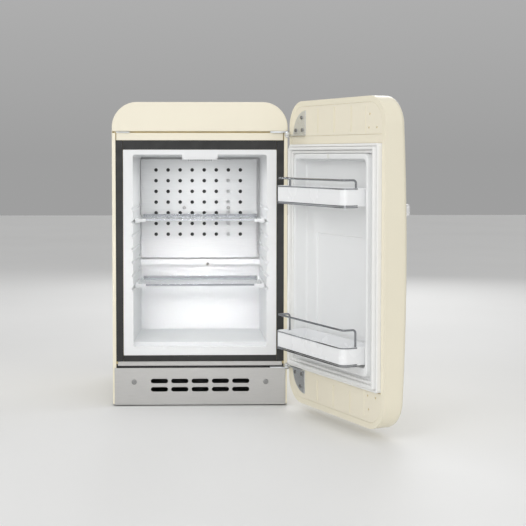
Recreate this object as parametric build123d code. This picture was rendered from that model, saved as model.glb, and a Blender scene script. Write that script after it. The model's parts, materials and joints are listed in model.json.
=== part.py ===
from build123d import *
from math import sqrt
import os

# A free-standing mini fridge in a rounded, old-fashioned style, standing with its door open.
# The origin is on the floor, midway between the sides, in the plane of the cabinet's front.
# +X is to the right, +Y goes back into the cabinet and +Z is up. Everything is in millimetres.

# ---- driving dimensions: cabinet ----
WIDTH = 404.0
HALF = WIDTH / 2
TOP = 702.5
UNDERSIDE = 4.0
DEPTH = 424.0
CORNER_RADIUS = 58.0
SHEET = 0.8
SIDE_FLANGE = 8.0
FOAM_FRONT = 2.2
REAR_PANEL = 306.0
REAR_WEB = 18.0

# ---- driving dimensions: inside of the cabinet ----
CAVITY_HALF = 154.3
CAVITY_LOW = 136.2
CAVITY_HIGH = 582.1
CAVITY_DEPTH = 240.0
CAVITY_DRAFT = 6.0
CAVITY_FLOOR = 145.0
LINER_WALL = 1.8
LINER_FLANGE_HALF = 176.4
LINER_FLANGE_LOW = 117.8
LINER_FLANGE_HIGH = 593.1
GUIDE_TOP = 456.4
GUIDE_PITCH = 30.75
GUIDE_LEVELS = 7
GUIDE_HEIGHT = 9.0
GUIDE_DEPTH = 4.0
GUIDE_END = 222.0
PLATE_Y = 229.0
PLATE_SCREWS = (-39.5, 70.0)
LINER_RIBS = ((-44.5, -34.5), (62.0, 78.0))
RIB_TOP = 532.0
DRAIN_X = 18.7

# ---- driving dimensions: front frame ----
STILE_INNER = 177.0
STILE_OUTER = 193.7
FRAME_LOW = 103.6
FRAME_HIGH = 614.6
FRAME_THICK = 1.8
RAIL_LOW = 614.9
RAIL_HIGH = 631.9
FASCIA_LOW = 635.2
PLINTH_HALF = 197.7
PLINTH_LOW = 2.5
PLINTH_HIGH = 88.3

# ---- driving dimensions: door, given closed and then swung open ----
DOOR_ANGLE = 114.2
DOOR_GAP = 16.0
DOOR_THICK = 58.0
DOOR_BOW = 11.0
DOOR_LOW = 17.5
DOOR_HIGH = 702.0
DOOR_RIM = 12.5
DOOR_EDGE_RADIUS = 12.0
PIVOT_X = 201.0
PIVOT_Y = -10.0
INNER = -DOOR_GAP
OUTER = INNER - DOOR_THICK
RECESS_DEPTH = 17.0
RECESS_HALF = 150.0
RECESS_LOW = 143.0
RECESS_HIGH = 572.0
DYKE_HALF = 158.0
DYKE_LOW = 125.0
DYKE_HIGH = 584.5
DYKE_HEIGHT = 14.0
PLUG_Z = 578.2
GASKET_LOW = 98.0
GASKET_HIGH = 605.0
GASKET_WIDTH = 20.0
GASKET_HEIGHT = 15.6
CAP_LOW = 623.5
LOWER_CAP_HIGH = 96.0

# ---- driving dimensions: hinges ----
PIN_RADIUS = 2.5
BUSH_BORE = 2.55
HINGE_PLATE = 2.0
LEAF_RADIUS = 55.1
LEAF_X = 125.4
UPPER_TAB = 632.4
LOWER_TAB = 88.8
TAB_THICK = 2.4
UPPER_ARM = 625.0
LOWER_ARM = 94.6
ARM_THICK = 2.2
BRACKET_SCREWS = (170.0, 186.0)
UPPER_SCREW_Z = 648.0
LOWER_SCREW_Z = 75.0
LEAF_SCREWS = ((142.0, 40.0), (168.5, 12.0), (138.4, 12.0))

# ---- driving dimensions: shelves, bins and feet ----
SHELF_LEVELS = {"upper": 1, "lower": 6}
SHELF_FRONT = 58.0
SHELF_BACK = 214.0
GLASS_THICK = 4.0
BIN_FLOORS = {"upper": 475.0, "lower": 150.0}
BIN_HEIGHT = 38.5
BIN_HALF = 146.0
BIN_FRONT = 49.0
BIN_BACK = -31.0
BIN_WALL = 2.0
BIN_RADIUS = 14.0
BIN_RAIL_RISE = {"upper": 16.0, "lower": 35.0}
FOOT_X = 165.0
FOOT_FRONT_Y = 40.0
FOOT_REAR_Y = 392.0

# ---- driving dimensions: cooling unit in the space behind the insulation ----
UNIT_Y = 362.0
FEED_X = 10.0
FEED_Z = 505.0
COIL_LEFT = -64.0
COIL_RIGHT = 60.0
CONTROL_LOW = 36.0
KNOB_X = -158.0


# ---- small building blocks ----
def box(x0, x1, y0, y1, z0, z1):
    """A block between two values on each axis, given in either order."""
    centre = Pos((x0 + x1) / 2, (y0 + y1) / 2, (z0 + z1) / 2)
    return centre * Box(abs(x1 - x0), abs(y1 - y0), abs(z1 - z0))


def front_plate(sketch, y0, y1):
    """A sketch drawn in X and Z, given a thickness from y0 to y1."""
    plane = Plane(origin=(0, y1, 0), x_dir=(1, 0, 0), z_dir=(0, -1, 0))
    return extrude(plane * sketch, amount=y1 - y0, dir=(0, -1, 0))


def side_plate(sketch, x0, x1):
    """A sketch drawn in Y and Z, given a thickness from x0 to x1."""
    plane = Plane(origin=(x0, 0, 0), x_dir=(0, 1, 0), z_dir=(1, 0, 0))
    return extrude(plane * sketch, amount=x1 - x0, dir=(1, 0, 0))


def flat_plate(sketch, z0, z1):
    """A sketch drawn in X and Y, given a thickness from z0 to z1."""
    return extrude(Pos(0, 0, z0) * sketch, amount=z1 - z0, dir=(0, 0, 1))


def upright(x, y, z0, z1, radius):
    """A cylinder that stands along Z."""
    return Pos(x, y, (z0 + z1) / 2) * Cylinder(radius, z1 - z0)


def lengthwise(x, z, y0, y1, radius):
    """A cylinder that lies along Y."""
    return Pos(x, (y0 + y1) / 2, z) * Rot(90, 0, 0) * Cylinder(radius, y1 - y0)


def crosswise(y, z, x0, x1, radius):
    """A cylinder that lies along X."""
    return Pos((x0 + x1) / 2, y, z) * Rot(0, 90, 0) * Cylinder(radius, x1 - x0)


def pipe(points, bend, radius):
    """A round bar along straight runs with bends between them."""
    path = FilletPolyline(*points, radius=bend)
    section = Plane(origin=path @ 0, z_dir=path % 0) * Circle(radius)
    return sweep(section, path=path)


def rectangle(half, low, high, radius=0.0):
    """An outline in X and Z, centred on X, with rounded corners."""
    shape = Rectangle(2 * half, high - low)
    if radius:
        shape = RectangleRounded(2 * half, high - low, radius)
    return Pos(0, (low + high) / 2) * shape


def arch(half, low, high, radius):
    """An outline in X and Z with square lower corners and rounded upper corners."""
    outline = rectangle(half, low, high)
    return fillet(outline.vertices().group_by(Axis.Y)[-1], radius)


def grouped(*shapes):
    """Separate solids that share one node."""
    return Compound([solid for shape in shapes for solid in shape.solids()])


def pan_screw(x, z, face, head_radius, head, shank, length):
    """A screw driven along +Y, with a domed head in front of the face."""
    dome = lengthwise(x, z, face - head, face, head_radius)
    dome = fillet(dome.edges().group_by(Axis.Y)[0], head * 0.45)
    slot = box(x - head_radius * 0.55, x + head_radius * 0.55, face - head - 1, face - head * 0.55,
               z - head_radius * 0.1, z + head_radius * 0.1)
    cross = slot + Pos(x, 0, z) * Rot(0, 90, 0) * Pos(-x, 0, -z) * slot
    return dome - cross + lengthwise(x, z, face, face + length, shank)


def hung(shape):
    """A piece of the door, swung from closed to the open rest position."""
    swing = Pos(PIVOT_X, PIVOT_Y, 0) * Rot(0, 0, DOOR_ANGLE) * Pos(-PIVOT_X, -PIVOT_Y, 0)
    return swing * shape


# ---- cabinet: casing and insulation ----
def outer_case():
    """The painted steel wrap: two sides and the top, with a flange down each front edge."""
    outside = front_plate(arch(HALF, UNDERSIDE, TOP, CORNER_RADIUS), 0, DEPTH)
    inside = arch(HALF - SHEET, UNDERSIDE - 1, TOP - SHEET, CORNER_RADIUS - SHEET)
    case = outside - front_plate(inside, -1, DEPTH + 1)
    for side in (-1, 1):
        outer = side * (HALF - SHEET / 2)
        inner = side * (HALF - SIDE_FLANGE)
        case += box(inner, outer, 0, SHEET, UNDERSIDE, FASCIA_LOW - 3.3)
        case += box(side * (HALF - 12), outer, DEPTH - SHEET, DEPTH, UNDERSIDE, 640)
    return case


def fascia():
    """The moulded cap that closes the rounded top of the case in front."""
    face = front_plate(arch(HALF, FASCIA_LOW, TOP, CORNER_RADIUS), -3, 0)
    face = fillet(face.edges().group_by(Axis.Y)[0], 2.2)
    rim = arch(HALF - 1.2, FASCIA_LOW, TOP - 1.2, CORNER_RADIUS - 1.2)
    hollow = arch(HALF - 3.4, FASCIA_LOW + 2.2, TOP - 3.4, CORNER_RADIUS - 3.4)
    body = face + front_plate(rim, 0, 5.7) - front_plate(hollow, -0.8, 6)
    return body - box(158, HALF + 1, -0.9, 6, FASCIA_LOW - 1, FASCIA_LOW + 3)


def wall_x(y):
    """Half the width of the cavity at a depth y, because the walls have draft."""
    return CAVITY_HALF - CAVITY_DRAFT * y / CAVITY_DEPTH


def tub(grow, end):
    """The tapered block of the cavity, grown all round by a wall and ending at a depth."""
    front = rectangle(CAVITY_HALF + grow, CAVITY_LOW - grow, CAVITY_HIGH + grow, 6 + grow)
    share = CAVITY_DRAFT * end / CAVITY_DEPTH
    back = rectangle(CAVITY_HALF - share + grow, CAVITY_LOW + share - grow,
                     CAVITY_HIGH - share + grow, 6 + grow)
    near = Plane(origin=(0, 0, 0), x_dir=(1, 0, 0), z_dir=(0, -1, 0)) * front
    far = Plane(origin=(0, end, 0), x_dir=(1, 0, 0), z_dir=(0, -1, 0)) * back
    return loft([near.face(), far.face()])


def guides(grow, start):
    """The shelf grooves of both walls as solids, grown by a wall and open at the front."""
    height = GUIDE_HEIGHT + 2 * grow
    length = GUIDE_END + grow - start
    lean = CAVITY_DRAFT * length / CAVITY_DEPTH
    grooves = []
    for level in range(GUIDE_LEVELS):
        z = GUIDE_TOP - level * GUIDE_PITCH
        for side in (-1, 1):
            reach = wall_x(start) + GUIDE_DEPTH + grow
            outline = Pos(side * (reach - 8), z) * RectangleRounded(16, height, height / 2 - 0.2)
            face = Plane(origin=(0, start, 0), x_dir=(1, 0, 0), z_dir=(0, -1, 0)) * outline
            run = sqrt(length**2 + lean**2)
            grooves.append(extrude(face, amount=run, dir=(-side * lean, length, 0)))
    return grooves


def drain_channel(radius):
    """A round bar along the drain, from the gutter back through the wall."""
    return pipe([(DRAIN_X, 234, 310), (DRAIN_X, 262, 306), (DRAIN_X, 318, 250)], 20, radius)


def liner_envelope():
    """Everything that the liner takes up, seen from the insulation's side."""
    envelope = tub(LINER_WALL, CAVITY_DEPTH + LINER_WALL)
    for groove in guides(LINER_WALL, 0):
        envelope += groove
    return envelope


def gutter():
    """The drip gutter moulded on the back wall, falling to the drain."""
    low, high, front = 308.0, 322.0, 222.0
    half = wall_x(CAVITY_DEPTH) + 0.5
    trough = box(-half, half, front, CAVITY_DEPTH + 1, low, high)
    hollow = box(-half + 3, half - 3, front + 2, CAVITY_DEPTH, low + 6, high + 1)
    return trough - hollow - lengthwise(DRAIN_X, low, front - 1, CAVITY_DEPTH, 5.0)


def inner_liner():
    """The white moulded tub with its front flange, shelf grooves, floor step and gutter."""
    flange = rectangle(LINER_FLANGE_HALF, LINER_FLANGE_LOW, LINER_FLANGE_HIGH, 2)
    liner = front_plate(flange, 0, FRAME_THICK) + liner_envelope()
    cavity = tub(0, CAVITY_DEPTH) - box(-200, 200, 20, 300, 100, CAVITY_FLOOR)
    liner -= cavity
    for groove in guides(0, -1):
        liner -= groove
    for (low, high), x in zip(LINER_RIBS, PLATE_SCREWS):
        liner += box(low, high, PLATE_Y + 7, CAVITY_DEPTH + 1, 345, RIB_TOP)
        liner += box(x - 5, x + 5, PLATE_Y + 1.2, PLATE_Y + 8, 443, 457)
        liner -= lengthwise(x, 450, PLATE_Y, CAVITY_DEPTH, 2.05)
    liner += gutter()
    return liner - drain_channel(4.8) - wall_passage()


def wall_passage():
    """The hole through the back wall for the tube that feeds the evaporator."""
    return lengthwise(FEED_X, FEED_Z, CAVITY_DEPTH - 1, REAR_PANEL + 6, 8.6)


def side_foam(side):
    """One side of the insulation, from the base to the rounded top corner."""
    inner_front = CAVITY_HALF + LINER_WALL
    inner_back = inner_front - CAVITY_DRAFT * REAR_PANEL / CAVITY_DEPTH
    outline = Polygon((side * HALF, FOAM_FRONT), (side * inner_front, FOAM_FRONT),
                      (side * inner_back, REAR_PANEL), (side * HALF, REAR_PANEL), align=None)
    return flat_plate(outline, 14, TOP)


def insulation_foam():
    """The rigid foam between case and liner, as the panels that its walls form."""
    room = front_plate(arch(HALF - SHEET, 14, TOP - SHEET, CORNER_RADIUS - SHEET), FOAM_FRONT, DEPTH - 1)
    room -= box(-HALF, HALF, 0, 6, RAIL_LOW - 3, TOP)
    room -= box(-HALF, HALF, 0, 27, 60, 97.4)
    for x, y in foot_places().values():
        room -= upright(x, y, 13, 31, 11)
    sides = [side_foam(side) for side in (-1, 1)]
    half_back = CAVITY_HALF + LINER_WALL - CAVITY_DRAFT * REAR_PANEL / CAVITY_DEPTH
    top = CAVITY_HIGH + LINER_WALL
    low = CAVITY_LOW - LINER_WALL
    upper = side_plate(Polygon((0, top), (REAR_PANEL, top - CAVITY_DRAFT * REAR_PANEL / CAVITY_DEPTH),
                               (REAR_PANEL, TOP), (0, TOP), align=None), -HALF, HALF)
    lower = side_plate(Polygon((0, low), (REAR_PANEL, low + CAVITY_DRAFT * REAR_PANEL / CAVITY_DEPTH),
                               (REAR_PANEL, 97.5), (0, 97.5), align=None), -HALF, HALF)
    for side in sides:
        upper -= side
        lower -= side
    back = box(-half_back - 3, half_back + 3, CAVITY_DEPTH + LINER_WALL, REAR_PANEL, low, top)
    for piece in (*sides, upper, lower):
        back -= piece
    webs = [box(s * (HALF - REAR_WEB), s * HALF, REAR_PANEL + SHEET, DEPTH, 14, 640) for s in (-1, 1)]
    roof = box(-HALF, HALF, REAR_PANEL + SHEET, DEPTH, 640.5, TOP)
    envelope = liner_envelope()
    walls = [(panel & room) - envelope for panel in (*sides, upper, lower, back)]
    walls[-1] = walls[-1] - drain_channel(4.8) - wall_passage()
    rear = [panel & room for panel in (*webs, roof)]
    return grouped(*walls, *rear)


def rear_panel():
    """The galvanised sheet that closes the insulation, with straps for the cooling unit."""
    half = HALF - SHEET - 0.2
    outer = REAR_PANEL + SHEET
    panel = front_plate(arch(half, 14, TOP - SHEET - 0.3, CORNER_RADIUS - 1), REAR_PANEL, outer)
    for z in (150, 540):
        panel += box(-182.5, 182.5, outer, outer + 1.6, z, z + 16)
    return panel - drain_channel(5.0) - wall_passage()


# ---- cabinet: base ----
def foot_places():
    """Where the four levelling feet stand."""
    return {
        "front_left": (-FOOT_X, FOOT_FRONT_Y),
        "front_right": (FOOT_X, FOOT_FRONT_Y),
        "rear_left": (-FOOT_X, FOOT_REAR_Y),
        "rear_right": (FOOT_X, FOOT_REAR_Y),
    }


def base_plate():
    """The steel floor of the machine space, with tabs for the plinth screws."""
    half = HALF - SHEET - 0.2
    plate = box(-half, half, 0.9, DEPTH - 1.2, 10.4, 11.6)
    for side in (-1, 1):
        plate += box(side * 142, side * 161, 0.9, 2.1, 10.4, 70)
        plate -= lengthwise(side * 152.5, 55.8, 0, 4, 2.6)
        plate += box(side * half, side * (half - 1.2), 0.9, DEPTH - 1.2, 10.4, 13.6)
    for x, y in foot_places().values():
        plate -= upright(x, y, 0, 30, 7.05)
    return plate


def foot_sockets():
    """Threaded bushes in the base plate that the feet screw into."""
    sockets = []
    for x, y in foot_places().values():
        bush = upright(x, y, 10.2, 30, 7.0) + upright(x, y, 11.7, 13.6, 10.0)
        sockets.append(bush - upright(x, y, 0, 40, 4.0))
    return grouped(*sockets)


def levelling_foot(x, y):
    """A foot with a broad pad and a stud."""
    pad = upright(x, y, 0, 8.5, 17)
    pad = fillet(pad.edges().group_by(Axis.Z)[-1], 2)
    pad = chamfer(pad.edges().group_by(Axis.Z)[0], 0.6)
    return pad + upright(x, y, 8.0, 27, 3.95)


def front_rail():
    """The black steel channel across the front, above the plinth."""
    half = HALF - SIDE_FLANGE - 0.5
    rail = box(-half, half, 3.2, 4.7, 62, 97.2)
    rail += box(-half, half, 4.7, 26, 95.7, 97.2) + box(-half, half, 4.7, 16, 62, 63.5)
    for x in BRACKET_SCREWS:
        rail -= lengthwise(x, LOWER_SCREW_Z, 0, 9, 1.95)
    return rail


def plinth():
    """The brushed kick plate with two rows of round-ended vents."""
    plate = front_plate(rectangle(PLINTH_HALF, PLINTH_LOW, PLINTH_HIGH, 1.5), -2, -0.2)
    for column in range(-2, 3):
        for z in (57.9, 38.5):
            plate -= front_plate(Pos(column * 47.1, z) * SlotOverall(39.5, 10.4), -3, 1)
    for side in (-1, 1):
        plate -= lengthwise(side * 152.5, 55.8, -3, 1, 2.6)
    plate += box(-140, 140, -0.5, 9, PLINTH_LOW, PLINTH_LOW + 1.4)
    return plate + box(-140, 140, -0.5, 1.3, PLINTH_HIGH - 1.4, PLINTH_HIGH)


def plinth_trim():
    """The narrow brushed strip between the plinth and the frame."""
    strip = box(-190, 190, -1.2, 1.8, 93.4, 103.3)
    return fillet(strip.edges().filter_by(Axis.X).group_by(Axis.Y)[0], 0.8)


# ---- cabinet: front frame ----
def frame_stiles():
    """The dark upright strips on each side of the opening."""
    stiles = []
    for side in (-1, 1):
        stile = box(side * STILE_INNER, side * STILE_OUTER, 0, FRAME_THICK, FRAME_LOW, FRAME_HIGH)
        stiles.append(fillet(stile.edges().filter_by(Axis.Z).group_by(Axis.Y)[0], 0.5))
    return grouped(*stiles)


def frame_crossmembers():
    """The dark strips above and below the opening, between the stiles."""
    half = STILE_INNER - 0.35
    bars = []
    for low, high in ((FRAME_LOW, LINER_FLANGE_LOW - 0.4), (LINER_FLANGE_HIGH + 0.4, FRAME_HIGH)):
        bar = box(-half, half, 0, FRAME_THICK, low, high)
        bars.append(fillet(bar.edges().filter_by(Axis.X).group_by(Axis.Y)[0], 0.4))
    return grouped(*bars)


def top_rail():
    """The painted strip between the frame and the fascia."""
    strip = box(-191.8, 191.8, -1.2, 5.6, RAIL_LOW, RAIL_HIGH)
    strip = fillet(strip.edges().group_by(Axis.Y)[0], 0.9)
    return strip - box(-190, 190, 1, 6, RAIL_LOW + 1.5, RAIL_HIGH - 1.5)


def hinge_blank():
    """The thin plate that fills the unused hinge slot on the left."""
    return box(-193, -161, -4.6, 3, 632.6, 634.4)


# ---- hinges ----
def cabinet_bracket(tab_low, leg_low, leg_high):
    """A bent steel bracket: a leg behind the trim and a tab that holds the hinge pin."""
    tab = Polygon((162, -9.2), (162, 3.1), (193.2, 3.1), (193.2, -0.6), (203.6, -5.8),
                  (201, -15), (193, -13.6), (185, -9.2), align=None)
    tab += Pos(PIVOT_X, PIVOT_Y) * Circle(5.0)
    bracket = flat_plate(tab, tab_low, tab_low + TAB_THICK)
    bracket += box(162, 193.2, 1.2, 3.1, leg_low, leg_high)
    for x in BRACKET_SCREWS:
        for z in (UPPER_SCREW_Z, LOWER_SCREW_Z):
            bracket -= lengthwise(x, z, 0, 9, 1.95)
    bracket -= upright(PIVOT_X, PIVOT_Y, tab_low - 1, tab_low + TAB_THICK + 1, PIN_RADIUS + 0.02)
    return bracket


def cabinet_hinge_brackets():
    """The upper bracket behind the fascia and the lower one behind the plinth."""
    upper = cabinet_bracket(UPPER_TAB, UPPER_TAB, 660)
    lower = cabinet_bracket(LOWER_TAB, 64, LOWER_TAB + TAB_THICK)
    return grouped(upper, lower)


def hinge_anchor():
    """The steel plate on the insulation that the upper bracket is screwed to."""
    plate = box(150, 192, 3.2, 5.6, 639, 660)
    for x in BRACKET_SCREWS:
        plate -= lengthwise(x, UPPER_SCREW_Z, 0, 9, 1.95)
    return plate


def cabinet_screws():
    """The screws of the hinge brackets, the plinth and the cold plate."""
    screws = [pan_screw(side * 152.5, 55.8, -2, 6, 2.8, 2.5, 9) for side in (-1, 1)]
    for x in BRACKET_SCREWS:
        screws.append(pan_screw(x, UPPER_SCREW_Z, 1.2, 3.4, 1.1, 1.9, 4.4))
        screws.append(pan_screw(x, LOWER_SCREW_Z, 1.2, 3.4, 1.1, 1.9, 4.4))
    for x in PLATE_SCREWS:
        screws.append(pan_screw(x, 450, PLATE_Y, 4.5, 1.8, 2.0, 8))
    return grouped(*screws)


def hinge_pins():
    """The two steel pins, riveted into the cabinet brackets."""
    upper = upright(PIVOT_X, PIVOT_Y, 620.4, UPPER_TAB + TAB_THICK, PIN_RADIUS)
    upper += upright(PIVOT_X, PIVOT_Y, UPPER_TAB + TAB_THICK, UPPER_TAB + TAB_THICK + 1.4, 4.0)
    lower = upright(PIVOT_X, PIVOT_Y, LOWER_TAB, 100.5, PIN_RADIUS)
    lower += upright(PIVOT_X, PIVOT_Y, LOWER_TAB - 1.8, LOWER_TAB, 4.0)
    return grouped(upper, lower)


def hinge_leaf(corner_z, up, arm_low):
    """A door hinge plate: a quarter-round leaf and an arm that reaches the pin."""
    quarter = Circle(LEAF_RADIUS) & Pos(30, up * 30) * Rectangle(60, 60)
    leaf = front_plate(Pos(LEAF_X, corner_z) * quarter, INNER, INNER + HINGE_PLATE)
    leaf = fillet(leaf.edges().group_by(Axis.Y)[-1], 0.5)
    for x, rise in LEAF_SCREWS:
        leaf -= lengthwise(x, corner_z + up * rise, INNER - 1, INNER + 4, 2.3)
    arm = Pos((LEAF_X + PIVOT_X) / 2, INNER + 5) * Rectangle(PIVOT_X - LEAF_X, 10)
    arm += Pos(PIVOT_X, PIVOT_Y) * Circle(6.4)
    arm -= Pos(PIVOT_X, INNER - 5) * Rectangle(30, 10)
    arm -= Pos(PIVOT_X, PIVOT_Y) * Circle(4.05)
    return leaf + flat_plate(arm, arm_low, arm_low + ARM_THICK)


def door_hinge_leaves():
    """The hinge plates at the top and the bottom of the door."""
    upper = hinge_leaf(UPPER_ARM, 1, UPPER_ARM)
    lower = hinge_leaf(LOWER_ARM + ARM_THICK, -1, LOWER_ARM)
    return hung(grouped(upper, lower))


def hinge_bushes():
    """Plastic bushes with collars that run on the hinge pins."""
    upper = upright(PIVOT_X, PIVOT_Y, 621.4, UPPER_ARM, 4.8)
    upper += upright(PIVOT_X, PIVOT_Y, UPPER_ARM, UPPER_ARM + ARM_THICK, 4.0)
    upper += upright(PIVOT_X, PIVOT_Y, UPPER_ARM + ARM_THICK, UPPER_TAB - 0.3, 5.4)
    lower = upright(PIVOT_X, PIVOT_Y, LOWER_TAB + TAB_THICK + 0.3, LOWER_ARM, 5.4)
    lower += upright(PIVOT_X, PIVOT_Y, LOWER_ARM, LOWER_ARM + ARM_THICK, 4.0)
    lower += upright(PIVOT_X, PIVOT_Y, LOWER_ARM + ARM_THICK, 99.4, 4.8)
    bore = upright(PIVOT_X, PIVOT_Y, 0, 800, BUSH_BORE)
    return hung(grouped(upper - bore, lower - bore))


def leaf_screws():
    """Three screws in each door hinge plate, driven into the door."""
    screws = []
    for corner_z, up in ((UPPER_ARM, 1), (LOWER_ARM + ARM_THICK, -1)):
        for x, rise in LEAF_SCREWS:
            screw = pan_screw(x, corner_z + up * rise, 0, 4.2, 2.2, 2.0, 14)
            screws.append(Pos(0, INNER + HINGE_PLATE, 0) * Rot(0, 0, 180) * Pos(-2 * x, 0, 0) * screw)
    return hung(grouped(*screws))


# ---- door ----
def door_block(inset):
    """The outer form of the door, bowed from top to bottom, shrunk by an inset."""
    low, high = DOOR_LOW + inset, DOOR_HIGH - inset
    outline = rectangle(HALF - inset, low, high, CORNER_RADIUS - inset)
    ends = OUTER + DOOR_BOW + inset
    middle = (low + high) / 2
    bow = ThreePointArc((ends, low - 1), (OUTER + inset, middle), (ends, high + 1))
    edge = Polyline((ends, high + 1), (INNER - inset, high + 1), (INNER - inset, low - 1), (ends, low - 1))
    profile = make_face(bow + edge)
    block = front_plate(outline, OUTER - 5, INNER + 5) & side_plate(profile, -HALF - 1, HALF + 1)
    return fillet(block.edges().filter_by(lambda e: e.center().Y < ends + 6), DOOR_EDGE_RADIUS - inset)


def door_shell():
    """The painted steel skin of the door with its return flange round the inner face."""
    skin = door_block(0)
    skin -= door_block(SHEET)
    low, high = DOOR_LOW + DOOR_RIM, DOOR_HIGH - DOOR_RIM
    window = rectangle(HALF - DOOR_RIM, low, high, CORNER_RADIUS - DOOR_RIM)
    return hung(skin - front_plate(window, INNER - SHEET - 0.5, INNER + 1))


def ridge_channels(wall, front, crest):
    """The four straight hollows inside the raised ridge of the door liner."""
    inner, outer = RECESS_HALF + wall, DYKE_HALF - wall
    corner = 18
    bars = []
    for side in (-1, 1):
        bars.append(box(side * inner, side * outer, front, crest, DYKE_LOW + corner, DYKE_HIGH - corner))
    across = DYKE_HALF - corner
    bars.append(box(-across, across, front, crest, DYKE_LOW + wall, RECESS_LOW - wall))
    bars.append(box(-across, across, front, crest, RECESS_HIGH + wall, DYKE_HIGH - wall))
    return bars


def door_foam():
    """The foam core of the door: a slab, four rim bars and the filling of the raised ridge."""
    core = door_block(SHEET + 0.1)
    split = INNER - RECESS_DEPTH - 3
    front = INNER - 2.4
    big = 500
    slab = core & box(-big, big, OUTER, split, 0, 800)
    rim = core & box(-big, big, split, front, 0, 800)
    half = RECESS_HALF + 2.2
    low, high = RECESS_LOW - 2.2, RECESS_HIGH + 2.2
    bars = [rim & box(side * half, side * big, split, front, 0, 800) for side in (-1, 1)]
    bars.append(rim & box(-half, half, split, front, 0, low))
    bars.append(rim & box(-half, half, split, front, high, 800))
    ridges = ridge_channels(2.2, front, INNER + DYKE_HEIGHT - 2.2)
    for corner_z, up in ((UPPER_ARM, 1), (LOWER_ARM + ARM_THICK, -1)):
        for x, rise in LEAF_SCREWS:
            hole = lengthwise(x, corner_z + up * rise, split, INNER, 2.05)
            bars = [bar - hole for bar in bars]
    return hung(grouped(slab, *bars, *ridges))


def door_liner():
    """The white inner panel: a flat border, a raised ridge and the recess for the bins."""
    border = HALF - DOOR_RIM - 0.4
    panel = front_plate(rectangle(border, GASKET_LOW + 0.3, GASKET_HIGH - 0.3, 3), INNER - 2, INNER)
    ridge = front_plate(rectangle(DYKE_HALF, DYKE_LOW, DYKE_HIGH, 16), INNER - 2, INNER + DYKE_HEIGHT)
    ridge = fillet(ridge.edges().group_by(Axis.Y)[-1], 2.5)
    back = INNER - RECESS_DEPTH
    wall = rectangle(RECESS_HALF + 2, RECESS_LOW - 2, RECESS_HIGH + 2)
    liner = panel + ridge + front_plate(wall, back - 2, INNER)
    hollow = rectangle(RECESS_HALF, RECESS_LOW, RECESS_HIGH, 10)
    liner -= front_plate(hollow, back, INNER + DYKE_HEIGHT + 1)
    for channel in ridge_channels(2.1, INNER - 3, INNER + DYKE_HEIGHT - 2.1):
        liner -= channel
    for floor in BIN_FLOORS.values():
        for side in (-1, 1):
            lug = box(side * (RECESS_HALF + 1), side * 142, back - 1, INNER + 6, floor - 6.4, floor - 0.4)
            liner += lug
    return hung(liner - lengthwise(0, PLUG_Z, INNER + 11.5, INNER + 20, 3.6))


def liner_plug():
    """The round plug in the filling hole of the door liner's ridge."""
    crest = INNER + DYKE_HEIGHT
    stem = lengthwise(0, PLUG_Z, crest - 2, crest + 0.2, 3.5)
    return hung(stem + lengthwise(0, PLUG_Z, crest + 0.02, crest + 1.2, 5.0))


def cap_outline(low, high):
    """The part of the door's inner face that an end cap covers, between two heights."""
    inset = DOOR_RIM + 0.4
    whole = rectangle(HALF - inset, DOOR_LOW + inset, DOOR_HIGH - inset, CORNER_RADIUS - inset)
    return whole & rectangle(HALF, low, high)


def grooves(low, high):
    """The three upright grooves of an end cap."""
    return [box(x - 2.1, x + 2.1, INNER - 1.5, INNER + 1, low, high) for x in (-70, 0, 70)]


def end_cap(low, high, groove_low, groove_high, corner_z, up):
    """A moulded end cap, with the recess for a hinge plate on its other hand."""
    cap = front_plate(cap_outline(low, high), INNER - 2, INNER)
    for groove in grooves(groove_low, groove_high):
        cap -= groove
    quarter = Circle(LEAF_RADIUS + 1) & Pos(-31, up * 31) * Rectangle(62, 62)
    cap -= front_plate(Pos(-LEAF_X, corner_z) * quarter, INNER - 0.8, INNER + 1)
    for x, rise in LEAF_SCREWS:
        for side in (-1, 1):
            cap -= lengthwise(side * x, corner_z + up * rise, INNER - 3, INNER + 1, 2.3)
    return cap


def door_top_cap():
    """The end cap at the top of the door."""
    return hung(end_cap(CAP_LOW, DOOR_HIGH, 630, 684, UPPER_ARM, 1))


def door_bottom_cap():
    """The end cap at the bottom of the door."""
    return hung(end_cap(DOOR_LOW, LOWER_CAP_HIGH, 36, 82, LOWER_ARM + ARM_THICK, -1))


def door_strip():
    """The plain strip between the top cap and the seal."""
    return hung(front_plate(cap_outline(GASKET_HIGH + 0.5, CAP_LOW - 0.5), INNER - 2, INNER - 0.2))


def gasket_run(length):
    """One straight run of the seal along X, with mitred ends, its outer edge at z = 0."""
    bands = ((0.0, 6.0, 9.0), (6.4, 13.6, GASKET_HEIGHT), (14.0, GASKET_WIDTH, 9.0))
    run = box(-length / 2, length / 2, INNER + 0.1, INNER + 3.5, -GASKET_WIDTH, 0)
    for start, end, height in bands:
        run += box(-length / 2, length / 2, INNER + 0.1, INNER + height, -end, -start)
    half = length / 2
    mitre = Polygon((-half, 0), (half, 0), (half - GASKET_WIDTH, -GASKET_WIDTH),
                    (-half + GASKET_WIDTH, -GASKET_WIDTH), align=None)
    return run & front_plate(mitre, INNER - 1, INNER + 30)


def door_gasket():
    """The magnetic seal: four mitred runs joined into a frame."""
    width = 2 * (HALF - DOOR_RIM - 0.6)
    height = GASKET_HIGH - GASKET_LOW
    middle = (GASKET_HIGH + GASKET_LOW) / 2
    runs = []
    for turn, length, reach in ((0, width, height / 2), (90, height, width / 2),
                                (180, width, height / 2), (270, height, width / 2)):
        run = Pos(0, 0, reach) * gasket_run(length - 0.02)
        runs.append(Pos(0, 0, middle) * Rot(0, turn, 0) * run)
    return hung(grouped(*runs))


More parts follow.
